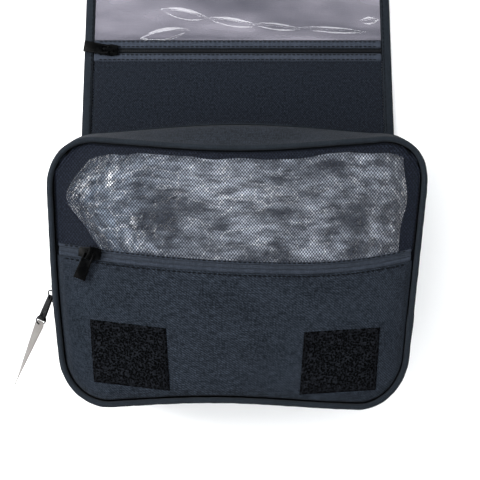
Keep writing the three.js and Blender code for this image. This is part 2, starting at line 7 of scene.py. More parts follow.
import bpy
from mathutils import Matrix, Vector, noise


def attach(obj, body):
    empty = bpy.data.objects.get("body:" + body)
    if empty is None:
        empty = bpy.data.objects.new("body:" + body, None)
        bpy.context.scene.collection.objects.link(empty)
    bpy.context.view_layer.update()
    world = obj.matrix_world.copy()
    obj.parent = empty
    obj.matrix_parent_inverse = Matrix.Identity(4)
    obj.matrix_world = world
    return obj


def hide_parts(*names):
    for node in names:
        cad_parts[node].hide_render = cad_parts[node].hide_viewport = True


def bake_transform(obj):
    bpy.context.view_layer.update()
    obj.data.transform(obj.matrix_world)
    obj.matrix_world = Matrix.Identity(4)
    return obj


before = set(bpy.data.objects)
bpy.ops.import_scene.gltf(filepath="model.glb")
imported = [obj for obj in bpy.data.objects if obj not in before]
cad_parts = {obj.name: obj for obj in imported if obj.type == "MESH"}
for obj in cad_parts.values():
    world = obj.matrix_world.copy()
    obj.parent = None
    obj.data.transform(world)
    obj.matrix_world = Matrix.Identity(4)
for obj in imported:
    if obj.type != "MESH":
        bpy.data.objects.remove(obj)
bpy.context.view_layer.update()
MM = 0.001

# ---- pouch, in millimetres: the same shape as its CAD solids ----
HALF_WIDTH = 125
HALF_HEIGHT = 90
CORNER = 33
TAPER = 0.00085
TAPER_FROM = 55
SIDE_BULGE = 6.5
TOP_BULGE = 8.5
TOP_SAG = 6.5
BOTTOM_BULGE = 3
SLUMP = 4.7
SLUMP_FROM = 90
SLUMP_OVER = 122
BOTTOM_RISE = 4.6
BOTTOM_RISE_X = -20
BOTTOM_RISE_FROM = -20
BOTTOM_RISE_OVER = 70
CORNER_FILL = (1.4, 2.6)
PUFF = 4
PIPING = 2.1
BACK_PIPING_Z = 2.6
FRONT_PIPING_Z = 80.5
HINGE_Z = 44.6
ZIP_LEG_END = -54
# The front zip's lowest point, and how far it has risen by each end
ZIP_LOW = (45, 3.6)
ZIP_LEFT = (-112, 11.5)
ZIP_RIGHT = (109, 6.3)
ZIP_HEM = 3.6
ZIP_WELT = 4.4
BAND = 8
PANEL_INSET = 3.9
SEAM_INSET = 2.9
HALF = HALF_WIDTH - SEAM_INSET
FACE_INSET = 4.9
BAND_INSET = 4.4
ROW_INSET = 8
TEETH_INSET = 4.6
BACK_WALL = (5.5, 37.8)
STRIP_LOW = 38.1
STRIP_HEIGHT = 12.8
BACK_TAPE = (STRIP_LOW, 43.2)
BACK_COIL_Z = 43.98
FRONT_COIL_Z = 45.22
FRONT_TAPE = (46, STRIP_LOW + STRIP_HEIGHT)
FRONT_WALL = (51.2, 77.6)
PATCH_SIZE = Vector((51, 42))
FILM_Z = 78.6
TAPE_Z = 79.3
WELT_Z = 79.85
HEM_Z = 79.95
TEETH_Z = 80
NET_Z = 80.3
PANEL_Z = 80.55
HEM_ROW_Z = 80.8
PANEL_ROW_Z = 81
# Middle of each hook square, the rise of its sides across and the lean of its sides up
HOOK_PATCHES = {"left": (-72, -55, -0.115, -0.06), "right": (68.5, -59, 0.06, 0.066)}

# ---- flap, in millimetres ----
FOLD_ONE = 106
FOLD_TWO = 191
FLAP_JOIN = 150
FLAP_END = 386
FLAP_HALF = 115
FLAP_NARROW = 204
FLAP_SPREAD = 0.036
FLAP_CORNER = 22
BINDING = 7
NET_ZIP = 165.6
HEM_WIDTH = 6.2
COIL_HALF = 1.5
GAP = 0.3
CLEAR_ZIP = 321
VINYL_START = 173.8
VINYL_END = 313.3
CLOTH_INSET = 7.3
FLAP_ROW_INSET = 11
FLAP_BAND_INSET = 7.5
FLAP_TAPE_INSET = 7.6
FLAP_TEETH_INSET = 7.7
VINYL_INSET = 7.4
FLAP_START = 96.6
BINDING_START = 97
BAND_FOOT = 3.7
BAND_TOP = 4.9
FLAP_CLOTH_Z = 2.3
SQUARE_Z = 2.75
FLAP_TAPE_Z = 3.15
FLAP_TEETH_Z = 3.45
VINYL_Z = 3.75
FLAP_NET_Z = 4.1
# Half the stretch of cloth at a fold, given with each flap piece: pieces near the first fold, and long pieces
FOLD_REACH = 7
LONG_REACH = 8
MAIN_SLIDER_Y = -17
MAIN_SLIDER_OUT = 2
MAIN_TILT = 0.32
MAIN_PULL_LIFT = 26
PULL_RISE = 2.85
PULL_LENGTH = 18.5
TAG_FROM = 18.8
TAG_LENGTH = 48

# ---- studio: places in metres; the bright ring's edges are heights on a sphere of radius one ----
CAMERA_PLACE = (0.0017, 0.022, 0.662)
KEY_PLACE = (-0.5, 0.2, 0.5)
KEY_AIM = (0, 0.08, 0)
KEY_SIZE = 0.3
KEY_ENERGY = 6.8
OVERHEAD_GLOW = 0.3
RING_GLOW = 6.1
SIDE_GLOW = 0.55
RING_TOP = (0.885, 0.865)
RING_FOOT = (0.765, 0.785)
UP = Vector((0, 0, 1))


# ---- camera, light and floor ----
def placed(name, data):
    """A new object of some data, linked to the scene."""
    made = bpy.data.objects.new(name, data)
    bpy.context.scene.collection.objects.link(made)
    return made


def make_camera():
    """Looks straight down, as far off as gives the nearness of the front over the flap."""
    data = bpy.data.cameras.new("camera")
    data.lens = 65
    data.sensor_width = 36
    camera = placed("camera", data)
    camera.location = CAMERA_PLACE
    bpy.context.scene.camera = camera


def make_key_lamp():
    """A soft lamp at the upper left of the picture."""
    data = bpy.data.lights.new("key", "AREA")
    data.size = KEY_SIZE
    data.energy = KEY_ENERGY
    lamp = placed("key", data)
    lamp.location = KEY_PLACE
    lamp.rotation_euler = (Vector(KEY_AIM) - Vector(KEY_PLACE)).to_track_quat("-Z", "Y").to_euler()


def make_studio():
    """A pale tent, dim overhead, with a bright ring round the camera."""
    world = bpy.data.worlds.new("studio")
    world.use_nodes = True
    tree = world.node_tree
    sky = tree.nodes["Background"]
    way = add(tree, "TexCoord").outputs["Generated"]
    height = add(tree, "SeparateXYZ", {"Vector": way}).outputs["Z"]
    inner = ramp(tree, height, *RING_TOP, 0.0, RING_GLOW)
    outer = ramp(tree, height, *RING_FOOT, 0.0, RING_GLOW)
    tent = ramp(tree, height, 0.45, 1.0, SIDE_GLOW, OVERHEAD_GLOW)
    glow = maths(tree, "ADD", maths(tree, "MINIMUM", inner, outer), tent)
    tree.links.new(glow, sky.inputs["Strength"])
    sky.inputs["Color"].default_value = (0.97, 0.985, 1, 1)
    bpy.context.scene.world = world
    bpy.context.scene.view_settings.view_transform = "Standard"


# ---- node helpers ----
def add(tree, kind, inputs=None, **settings):
    """Adds a node of a kind with its settings, and each input either linked or given a value."""
    node = tree.nodes.new(f"ShaderNode{kind}")
    for name, value in settings.items():
        setattr(node, name, value)
    for name, value in (inputs or {}).items():
        if isinstance(value, bpy.types.NodeSocket):
            tree.links.new(value, node.inputs[name])
        else:
            node.inputs[name].default_value = value
    return node


def new_material(name, values):
    """A Principled material with its plain values set on the shader's own sockets, and its node tree."""
    made = bpy.data.materials.new(name)
    made.use_nodes = True
    shader = made.node_tree.nodes["Principled BSDF"]
    for socket, value in values.items():
        shader.inputs[socket].default_value = value
    return made, made.node_tree


def wired(made, found):
    """The same material with a node's value linked to each of the shader's sockets that are named."""
    shader = made.node_tree.nodes["Principled BSDF"]
    for socket, value in found.items():
        made.node_tree.links.new(value, shader.inputs[socket])
    return made


def stretched_uv(tree, across=1, along=1):
    """UV in millimetres, scaled to draw features out one way or the other."""
    uv = add(tree, "TexCoord").outputs["UV"]
    return add(tree, "Mapping", {"Vector": uv, "Scale": (across, along, 1)}).outputs["Vector"]


def mixed(tree, factor, first, second):
    """Mix of two colours; factor, first and second are sockets or values."""
    return add(tree, "Mix", {0: factor, 6: first, 7: second}, data_type="RGBA").outputs[2]


def maths(tree, operation, first, second):
    return add(tree, "Math", {0: first, 1: second}, operation=operation).outputs[0]


def plus(tree, base, value, factor):
    """A base and a value times a factor."""
    return maths(tree, "ADD", base, maths(tree, "MULTIPLY", value, factor))


def ramp(tree, factor, low, high, start=0.0, end=1.0):
    """Spreads the stretch from low to high of a factor over start to end."""
    found = {"Value": factor, "From Min": low, "From Max": high, "To Min": start, "To Max": end}
    return add(tree, "MapRange", found).outputs["Result"]


def noise_value(tree, vector, scale, detail, rough=0.5):
    values = {"Vector": vector, "Scale": scale, "Detail": detail, "Roughness": rough}
    return add(tree, "TexNoise", values).outputs["Fac"]


def bump(tree, height, strength, distance):
    values = {"Height": height, "Strength": strength, "Distance": distance}
    return add(tree, "Bump", values).outputs["Normal"]


# ---- materials ----
def woven(name, dark, light, pitch, twill=True, heather=0.8, rough=0.9):
    """Yarn-dyed cloth: slubs drawn out along both threads, a fine weave with painted shade in its grooves,
    and slow patches of wear.
    """
    values = {"Roughness": rough, "Sheen Weight": 0.02, "Sheen Roughness": 0.5, "Specular IOR Level": 0.12}
    made, tree = new_material(name, values)
    weft = noise_value(tree, stretched_uv(tree, 0.22, 1.1), 1.0, 3.0, 0.7)
    warp = noise_value(tree, stretched_uv(tree, 1.1, 0.22), 1.1, 3.0, 0.7)
    slub = ramp(tree, maths(tree, "ADD", weft, warp), 0.86, 1.16)
    plain = stretched_uv(tree)
    worn = ramp(tree, noise_value(tree, plain, 0.035, 3.0), 0.35, 0.7)
    tone = plus(tree, maths(tree, "MULTIPLY", slub, heather), worn, 0.25)
    colour = mixed(tree, maths(tree, "MINIMUM", tone, 1.0), (*dark, 1), (*light, 1))
    direction = "DIAGONAL" if twill else "X"
    ribs = {"Vector": plain, "Scale": 0.314 / pitch, "Distortion": 0.4, "Detail": 1.0, "Detail Scale": 2.0}
    weave = add(tree, "TexWave", ribs, bands_direction=direction).outputs["Fac"]
    cross = add(tree, "TexWave", ribs, bands_direction="Y").outputs["Fac"]
    height = plus(tree, maths(tree, "MULTIPLY", weave, 0.6), cross, 0.4)
    # Painted shade: the weave's low grooves get a darker colour.
    painted_groove_shade = ramp(tree, height, 0.0, 0.9)
    colour = mixed(tree, painted_groove_shade, (*[c * 0.72 for c in dark], 1), colour)
    relief = plus(tree, height, slub, 0.7)
    return wired(made, {"Base Color": colour, "Normal": bump(tree, relief, 0.55, 0.0003)})


def fuzzy_tape(name, dark, light):
    """Hook or loop tape: a dense tangle of short bristles, with painted shade darkening the hollows of the
    tangle.
    """
    made, tree = new_material(name, {"Roughness": 0.95, "Specular IOR Level": 0.03})
    plain = stretched_uv(tree)
    cells = add(tree, "TexVoronoi", {"Vector": plain, "Scale": 0.8}).outputs["Distance"]
    fluff = noise_value(tree, plain, 0.9, 4.0, 0.8)
    tangle = plus(tree, fluff, cells, 0.5)
    # Painted shade: the colour is darker where the tangle's relief is low and lighter on its raised tips.
    colour = mixed(tree, ramp(tree, tangle, 0.68, 1.0), (*dark, 1), (*light, 1))
    return wired(made, {"Base Color": colour, "Normal": bump(tree, tangle, 0.9, 0.0008)})


def yarn(name, dark, light, rough):
    """Round synthetic thread, as in nets, coils and stitches."""
    made, tree = new_material(name, {"Roughness": rough, "Specular IOR Level": 0.06})
    plain = stretched_uv(tree)
    colour = mixed(tree, ramp(tree, noise_value(tree, plain, 0.6, 3.0), 0.35, 0.7), (*dark, 1), (*light, 1))
    relief = bump(tree, noise_value(tree, plain, 4.0, 2.0), 0.3, 0.0001)
    return wired(made, {"Base Color": colour, "Normal": relief})


def clear_vinyl():
    """Soft clear sheet with a faint violet haze, which is painted reflection, and handling marks."""
    values = {"Specular IOR Level": 1.0, "Coat Weight": 1.0, "Coat Roughness": 0.08}
    made, tree = new_material("clear_vinyl", values)
    plain = stretched_uv(tree)
    # Painted reflection: the violet-grey colour and thicker alpha stand in for light mirrored off the sheet.
    painted_haze_reflection = ramp(tree, noise_value(tree, stretched_uv(tree, 0.6, 1.3), 0.016, 3.0), 0.32, 0.68)
    scuffs = ramp(tree, noise_value(tree, stretched_uv(tree, 0.05, 0.6), 1.0, 4.0, 0.7), 0.35, 0.8)
    return wired(made, {
        "Base Color": mixed(tree, painted_haze_reflection, (0.090, 0.090, 0.118, 1), (0.300, 0.284, 0.334, 1)),
        "Alpha": plus(tree, 0.55, painted_haze_reflection, 0.15),
        "Roughness": plus(tree, 0.1, scuffs, 0.08),
        "Normal": bump(tree, noise_value(tree, plain, 0.05, 2.0), 0.1, 0.002),
    })


def packing_film():
    """Thin crinkled film: milky in the middle, with painted shade darkening it towards its sides and its left
    end, and painted highlights white along sharp creases.
    """
    values = {"Roughness": 0.2, "Specular IOR Level": 0.9, "Coat Weight": 1.0, "Coat Roughness": 0.06}
    made, tree = new_material("packing_film", values)
    plain = stretched_uv(tree)
    across = add(tree, "SeparateXYZ", {"Vector": plain}).outputs["X"]
    # Painted shade: the film darkens towards its left and right sides.
    inside = maths(tree, "MULTIPLY", ramp(tree, across, 0.0, 45.0), ramp(tree, across, 236.0, 190.0))
    cloud = ramp(tree, noise_value(tree, plain, 0.03, 4.0, 0.6), 0.34, 0.6)
    streak = ramp(tree, noise_value(tree, stretched_uv(tree, 0.5, 1.0), 0.15, 5.0, 0.72), 0.38, 0.64)
    milky = maths(tree, "MULTIPLY", plus(tree, 0.2, cloud, 0.8), plus(tree, 0.25, streak, 0.75))
    painted_side_shade = plus(tree, 0.08, inside, 0.92)
    tone = maths(tree, "MULTIPLY", maths(tree, "POWER", milky, 1.3), painted_side_shade)
    warped = add(tree, "TexNoise", {"Vector": plain, "Scale": 0.05, "Detail": 3.0}).outputs["Color"]
    bends = {0: warped, 1: (22, 22, 22), 2: plain}
    bent = add(tree, "VectorMath", bends, operation="MULTIPLY_ADD").outputs["Vector"]
    cells = {"Vector": bent, "Scale": 0.075}
    edge = add(tree, "TexVoronoi", cells, feature="DISTANCE_TO_EDGE").outputs["Distance"]
    # Painted highlights: near-white lines along the film's creases.
    painted_crease_highlights = maths(tree, "MULTIPLY", ramp(tree, edge, 0.03, 0.0), maths(tree, "MULTIPLY", streak, cloud))
    # Painted shade: the film's colour turns darker and bluer towards its left end.
    painted_left_shade_colour = mixed(tree, ramp(tree, across, 0.0, 100.0), (0.095, 0.170, 0.265, 1), (0.57, 0.625, 0.72, 1))
    colour = mixed(tree, tone, (0.002, 0.003, 0.005, 1), painted_left_shade_colour)
    colour = mixed(tree, painted_crease_highlights, colour, (0.95, 0.97, 1, 1))
    relief = bump(tree, noise_value(tree, plain, 0.2, 4.0, 0.6), 0.3, 0.003)
    return wired(made, {"Base Color": colour, "Normal": relief})


def lacquer(name, colour, rough):
    """Glossy coated metal or moulded plastic with faint moulding texture and rubbed spots."""
    made, tree = new_material(name, {"Specular IOR Level": 0.03})
    place = add(tree, "TexCoord").outputs["Object"]
    rubbed = ramp(tree, noise_value(tree, place, 160, 4.0, 0.6), 0.45, 0.8)
    worn = [c * 1.8 + 0.0008 for c in colour]
    return wired(made, {
        "Base Color": mixed(tree, rubbed, (*colour, 1), (*worn, 1)),
        "Roughness": plus(tree, rough, rubbed, 0.2),
        "Normal": bump(tree, noise_value(tree, place, 900, 2.0), 0.12, 0.0002),
    })


def tag_card():
    """Blank satin card with a soft metallic sheen."""
    values = {"Roughness": 0.55, "Specular IOR Level": 0.2, "Metallic": 0.1}
    made, tree = new_material("tag_card", values)
    plain = stretched_uv(tree)
    grain = noise_value(tree, stretched_uv(tree, 0.3, 3.0), 1.0, 4.0, 0.6)
    soft = ramp(tree, noise_value(tree, plain, 0.06, 2.0), 0.3, 0.7)
    tone = plus(tree, maths(tree, "MULTIPLY", grain, 0.4), soft, 0.5)
    colour = mixed(tree, tone, (0.055, 0.046, 0.041, 1), (0.165, 0.156, 0.144, 1))
    return wired(made, {"Base Color": colour, "Normal": bump(tree, grain, 0.1, 0.0002)})


CLOTH = woven("body_cloth", (0.0016, 0.0032, 0.0058), (0.029, 0.0375, 0.052), 0.9)
TRIM = woven("trim_tape", (0.006, 0.0085, 0.012), (0.0185, 0.0245, 0.032), 0.8, False, 0.6)
BANDING = woven("band_tape", (0.013, 0.017, 0.0245), (0.043, 0.053, 0.073), 0.8, False, 0.7)
FLAP_BANDING = woven("flap_band", (0.02, 0.025, 0.035), (0.053, 0.064, 0.088), 0.8, False, 0.6)
LINING = woven("lining", (0.0016, 0.0023, 0.0036), (0.0042, 0.0055, 0.008), 0.45, False, rough=0.75)
NET = yarn("net", (0.005, 0.0066, 0.0115), (0.019, 0.024, 0.0385), 0.65)
DARK_NET = yarn("dark_net", (0.004, 0.0055, 0.0092), (0.0245, 0.0315, 0.0455), 0.7)
COIL = yarn("zip_coil", (0.0015, 0.0018, 0.0024), (0.005, 0.0058, 0.0075), 0.5)
ZIP_WEB = woven("zip_web", (0.012, 0.0155, 0.022), (0.04, 0.049, 0.066), 0.7, False, 0.7)
THREAD = yarn("thread", (0.0008, 0.0011, 0.0016), (0.003, 0.0038, 0.0052), 0.6)
FUZZY = fuzzy_tape("hook_and_loop", (0.0, 0.0, 0.0001), (0.0105, 0.0118, 0.0148))
VINYL = clear_vinyl()
FILM = packing_film()
BLACK = lacquer("black_metal", (0.0006, 0.0007, 0.0008), 0.24)
NYLON = lacquer("black_plastic", (0.003, 0.003, 0.0034), 0.4)
CARD = tag_card()


# ---- shape functions, in millimetres ----
def clamp(t, low=0.0):
    return min(1.0, max(low, t))


def smooth(t):
    t = clamp(t)
    return t * t * (3 - 2 * t)


def edge_fade(u, v, steep):
    """Falls to 0 at the edges of a grid from 1 further in."""
    return smooth(steep * min(u, 1 - u)) * smooth(steep * min(v, 1 - v))


def lerp(a, b, t):
    return a + (b - a) * t


def swell(z):
    """Swell of the gusset, 0 at the front and back and 1 at mid depth."""
    return math.sin(math.pi * clamp(z / (FRONT_PIPING_Z + 1)))


def top_middle(x, y):
    """How far a place belongs to the middle of the top edge."""
    across = clamp(x / HALF_WIDTH, -1.0)
    return smooth(y / HALF_HEIGHT) * math.cos(math.pi / 2 * across) ** 2


def bottom_middle(x, y):
    """How far a place belongs to the arched stretch of the bottom edge."""
    across = clamp((x - BOTTOM_RISE_X) / HALF_WIDTH, -1.0)
    return smooth((BOTTOM_RISE_FROM - y) / BOTTOM_RISE_OVER) * math.cos(math.pi / 2 * across) ** 2


def corner_push(x, y):
    """How far a place in one of the top corners is pushed outward, along X and along Y alike."""
    side = clamp((abs(x) - HALF_WIDTH + CORNER) / CORNER)
    top = clamp((y - HALF_HEIGHT + CORNER) / CORNER)
    return 2 * side * top * CORNER_FILL[x > 0]


def stuffed(x, y, z):
    """Moves a point of the plain box pouch to its place on the stuffed, sagging one."""
    width = (1 - TAPER * max(0.0, TAPER_FROM - y)) * (1 + SIDE_BULGE * swell(z) / HALF_WIDTH)
    height = 1 + (BOTTOM_BULGE if y < 0 else SIDE_BULGE) * swell(z) / HALF_HEIGHT
    front = smooth((z - HINGE_Z) / (FRONT_PIPING_Z - HINGE_Z))
    lift = (TOP_BULGE * swell(z) - TOP_SAG * front) * top_middle(x, y)
    rise = BOTTOM_RISE * front * bottom_middle(x, y)
    low = smooth(z / HINGE_Z) * smooth((SLUMP_FROM - y) / SLUMP_OVER)
    slump = SLUMP * low * min(0.0, x / HALF_WIDTH)
    push = corner_push(x, y)
    return Vector((x * width + slump + math.copysign(push, x), y * height + lift + rise + push, z))


def puff(x, y):
    """Outward swell of the front face."""
    return PUFF * max(0.0, 1 - (x / HALF_WIDTH) ** 2) * max(0.0, 1 - (y / HALF_HEIGHT) ** 2)


def zip_line(x):
    """Middle line of the front zip."""
    end = ZIP_LEFT if x < ZIP_LOW[0] else ZIP_RIGHT
    return ZIP_LOW[1] + end[1] * ((x - ZIP_LOW[0]) / (end[0] - ZIP_LOW[0])) ** 2


def front_edge(x, inset):
    """Half height of the front panel's outline at a distance from the middle."""
    radius = CORNER - inset
    past = min(max(0.0, abs(x) - (HALF_WIDTH - CORNER)), radius)
    return HALF_HEIGHT - CORNER + math.sqrt(max(0.0, radius * radius - past * past))


CORNERS = [(1, -1), (1, 1), (-1, 1), (-1, -1)]
SIDE_X = HALF_WIDTH - CORNER
SIDE_Y = HALF_HEIGHT - CORNER
ARC = math.pi * CORNER / 2
RUNS = [SIDE_X, ARC, 2 * SIDE_Y, ARC, 2 * SIDE_X, ARC, 2 * SIDE_Y, ARC, SIDE_X]
RIM = sum(RUNS)
ZIP_START = SIDE_X + ARC + SIDE_Y + ZIP_LEG_END
ZIP_STOP = RIM - ZIP_START


def rim(s, out):
    """Point s along the pouch outline from the middle of the bottom, anticlockwise, and its outward way."""
    s %= RIM
    index = 0
    while index < len(RUNS) - 1 and s > RUNS[index]:
        s -= RUNS[index]
        index += 1
    quarter = index // 2
    turn = -math.pi / 2 + quarter * math.pi / 2
    if index % 2:
        turn += s / CORNER
        centre = Vector((CORNERS[quarter][0] * SIDE_X, CORNERS[quarter][1] * SIDE_Y))
        way = Vector((math.cos(turn), math.sin(turn)))
        return centre + way * (CORNER + out), way.to_3d()
    way = Vector((math.cos(turn), math.sin(turn)))
    ahead = Vector((-way.y, way.x))
    if index == 0:
        start = Vector((0, -HALF_HEIGHT))
    else:
        near = CORNERS[quarter - 1]
        start = Vector((near[0] * SIDE_X, near[1] * SIDE_Y)) + way * CORNER
    return start + ahead * s + way * out, way.to_3d()


def on_wall(s, z, out):
    point, _ = rim(s, out)
    return stuffed(point.x, point.y, z)


def ripple(x, y, z, size, seed):
    """Soft noise from -1 to 1 with bumps of about a size in millimetres."""
    return noise.noise(Vector((x / size + seed, y / size - seed, z / size + 2 * seed)))


def crease(x, y, size, seed):
    """Facets that meet in sharp ridges, about a size across, from 0 to 1."""
    near, _ = noise.voronoi(Vector((x / size + seed, y / size - seed, seed)))
    return near[0]


# ---- mesh builders ----
def finish_mesh(name, verts, faces, uvs, material):
    """Makes an object of points in millimetres; uvs holds one pair in millimetres for each face corner."""
    mesh = bpy.data.meshes.new(name)
    mesh.from_pydata([(p[0] * MM, p[1] * MM, p[2] * MM) for p in verts], [], faces)
    layer = mesh.uv_layers.new(name="UVMap")
    layer.data.foreach_set("uv", [c for pair in uvs for c in pair])
    mesh.materials.append(material)
    mesh.polygons.foreach_set("use_smooth", [True] * len(mesh.polygons))
    mesh.update()
    return placed(name, mesh)


def surface(name, across, along, place, size, material, closed=False, ring=False, thickness=0.0):
    """A grid of faces; place gives a point from two shares from 0 to 1, and size is its width and length.

    A closed one joins its two sides, and a ring its two ends too.
    """
    columns = across if closed else across + 1
    rows = along if ring else along + 1
    verts = [place(i / across, j / along) for j in range(rows) for i in range(columns)]
    faces, uvs = [], []
    for j in range(along):
        for i in range(across):
            a, b = j * columns + i, j * columns + (i + 1) % columns
            faces.append((a, b, (b + columns) % len(verts), (a + columns) % len(verts)))
            low, high = (i / across * size[0], (i + 1) / across * size[0])
            near, far = (j / along * size[1], (j + 1) / along * size[1])
            uvs += [(low, near), (high, near), (high, far), (low, far)]
    made = finish_mesh(name, verts, faces, uvs, material)
    if thickness:
        thicken(made, thickness)
    return made


def modify(made, kind, **settings):
    """Adds a modifier of a kind with its settings."""
    added = made.modifiers.new(kind, kind)
    for name, value in settings.items():
        setattr(added, name, value)


def settle(made):
    """Turns an object's modifiers into its mesh."""
    graph = bpy.context.evaluated_depsgraph_get()
    mesh = bpy.data.meshes.new_from_object(made.evaluated_get(graph))
    made.modifiers.clear()
    made.data = mesh


def thicken(made, thickness):
    """Gives a sheet a thickness in millimetres on its inner side."""
    modify(made, "SOLIDIFY", thickness=thickness * MM, offset=-1)
    settle(made)


def stitches(name, path, length, pitch=3.4, stitch=2.3, width=0.45):
    """A row of sewn stitches; path gives a point and the way out of the cloth from a share from 0 to 1."""
    verts, faces, uvs = [], [], []
    count = max(1, int(length / pitch))
    for n in range(count):
        here, out = path((n + 0.5) / count)
        ahead = (path((n + 0.7) / count)[0] - path((n + 0.3) / count)[0]).normalized()
        side = ahead.cross(out).normalized()
        base = len(verts)
        half = stitch / 2
        for along, wide in ((-half, 0.35), (-half * 0.5, 1.0), (half * 0.5, 1.0), (half, 0.35)):
            for across, lift in ((-1, 0.0), (0, 1.0), (1, 0.0), (0, -0.6)):
                thick = side * (across * wide * width) + out * (lift * wide * width)
                verts.append(here + ahead * along + thick)
        for ring in range(3):
            for k in range(4):
                a, b = base + ring * 4 + k, base + ring * 4 + (k + 1) % 4
                faces.append((a, b, b + 4, a + 4))
                uvs += [(0, ring), (width, ring), (width, ring + 1), (0, ring + 1)]
        faces += [(base + 3, base + 2, base + 1, base), (base + 12, base + 13, base + 14, base + 15)]
        uvs += [(0, 0), (0, width), (width, width), (width, 0)] * 2
    return finish_mesh(name, verts, faces, uvs, THREAD)


# Corners of one cell of a net, in quarters of its pitch
CELL = ((2, 0), (1, 1), (0, 2), (-1, 1), (-2, 0), (-1, -1), (0, -2), (1, -1))
# How far the hole reaches towards the corners, taken by turns
OPEN = (0.66, 0.82)
NET_DEPTH = 0.16


def net(name, columns, rows, pitch, place, keep, material):
    """Knitted net of staggered round holes; place moves a flat point, keep says which cells are made."""
    step = Vector((pitch[0] / 4, pitch[1] / 2))
    verts, faces, uvs, index = [], [], [], {}

    def knot(key, flat):
        if key not in index:
            index[key] = len(verts)
            verts.append(place(*flat))
        return index[key]

    def brink(flat):
        verts.append(place(*flat) - UP * NET_DEPTH)
        return len(verts) - 1

    for j in range(-rows, rows + 1):
        for i in range(-columns, columns + 1):
            middle = (4 * i + 2 * (j % 2), 2 * j)
            if not keep(middle[0] * step.x, middle[1] * step.y):
                continue
            keys = [(middle[0] + a, middle[1] + b) for a, b in CELL]
            outer = [(a * step.x, b * step.y) for a, b in keys]
            holes = [(a * OPEN[k % 2], b * OPEN[k % 2]) for k, (a, b) in enumerate(CELL)]
            inner = [((middle[0] + a) * step.x, (middle[1] + b) * step.y) for a, b in holes]
            knots = [knot(key, flat) for key, flat in zip(keys, outer)]
            brinks = [brink(flat) for flat in inner]
            for k in range(8):
                n = (k + 1) % 8
                faces.append((knots[k], knots[n], brinks[n], brinks[k]))
                uvs += [outer[k], outer[n], inner[n], inner[k]]
    return finish_mesh(name, verts, faces, uvs, material)


def zip_coil(name, path, half, height, length, material, pitch, rib=0.28):
    """Closed coils: a low bar, ribbed across, along a path that gives a point and the way up."""
    def place(u, v):
        here, up = path(v)
        ahead = path(clamp(v + 0.002))[0] - path(clamp(v - 0.002))[0]
        side = ahead.normalized().cross(up).normalized()
        turn = math.pi * u
        tooth = 1 - rib + rib * abs(math.sin(math.pi * v * length / pitch + 1.2 * (u - 0.5)))
        groove = 1 - 0.35 * math.exp(-((u - 0.5) / 0.08) ** 2)
        return here - side * (half * math.cos(turn)) + up * (height * tooth * groove * math.sin(turn) ** 0.6)

    return surface(name, 8, int(length / pitch) * 4, place, (half * 3, length), material)


def refined(node, material, bevel):
    """A finer copy of a hard CAD piece: flat facets joined, edges rounded by a bevel in millimetres."""
    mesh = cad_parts[node].data.copy()
    mesh.materials.clear()
    mesh.materials.append(material)
    made = placed(f"{node}_fine", mesh)
    modify(made, "WELD", merge_threshold=0.01 * MM)
    modify(made, "DECIMATE", decimate_type="DISSOLVE", angle_limit=math.radians(3))
    modify(made, "BEVEL", width=bevel * MM, segments=3, limit_method="ANGLE", angle_limit=math.radians(25))
    settle(made)
    made.data.polygons.foreach_set("use_smooth", [True] * len(made.data.polygons))
    made.data.set_sharp_from_angle(angle=math.radians(50))
    box_uv(made)
    return made


def box_uv(made):
    """UV in millimetres on a copied CAD piece, taken from whichever way each face looks."""
    mesh = made.data
    layer = mesh.uv_layers.new(name="UVMap")
    for face in mesh.polygons:
        away = max(range(3), key=lambda axis: abs(face.normal[axis]))
        first, second = [axis for axis in range(3) if axis != away]
        for loop in face.loop_indices:
            point = mesh.vertices[mesh.loops[loop].vertex_index].co
            layer.data[loop].uv = (point[first] / MM, point[second] / MM)


def twist(made, root, way, reach, start, end):
    """Turns a limp piece about its own length, from one angle at its root to another at its far end."""
    modify(made, "SUBSURF", subdivision_type="SIMPLE", levels=3)
    settle(made)
    for vertex in made.data.vertices:
        arm = vertex.co / MM - root
        turn = lerp(start, end, clamp(arm.dot(way) / reach))
        vertex.co = (root + Matrix.Rotation(turn, 3, way) @ arm) * MM
    return made


def stand_for(nodes):
    if nodes:
        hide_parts(*nodes)


def bind(made, body, slot, *nodes):
    """Says which body a piece rides on and the CAD nodes it stands for; its material slot is not used."""
    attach(made, body)
    stand_for(nodes)


def bind_fold(made, fold, reach, slot, *nodes):
    """For cloth of the flap at one of its folds: bakes its placing into its mesh and hides the CAD nodes it
    stands for; the fold, reach and slot are not used.
    """
    behind, ahead, at = fold
    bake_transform(made)
    stand_for(nodes)


# ---- pouch ----
def pouch_face(u, v):
    """A point of the plain outline's inside, with u and v from 0 to 1."""
    x = (HALF_WIDTH - FACE_INSET) * math.sin((u - 0.5) * math.pi)
    edge = front_edge(x, FACE_INSET)
    return x, lerp(-edge, edge, v)


def build_back():
    def back(u, v):
        x, y = pouch_face(u, v)
        edge = 8 * min(u, 1 - u, v, 1 - v)
        point = stuffed(x, y, BACK_PIPING_Z)
        return Vector((point.x, point.y, 5.2 + 1.1 * smooth(edge)))

    pad = surface("padded_back", 60, 40, back, (250, 180), LINING, thickness=5.0)
    bind(pad, "pouch_back", "lining", "back_panel_lining", "back_panel_foam")

    def outside(u, v):
        x, y = pouch_face(1 - u, v)
        point = stuffed(x, y, 0)
        dent = 0.5 + 0.45 * ripple(x, y, 0, 34, 3.1)
        return Vector((point.x, point.y, 0.02 + 0.25 * dent * edge_fade(u, v, 6)))

    cloth = surface("back_cloth", 70, 50, outside, (250, 180), CLOTH, thickness=1.1)
    bind(cloth, "pouch_back", "body_cloth", "back_panel")


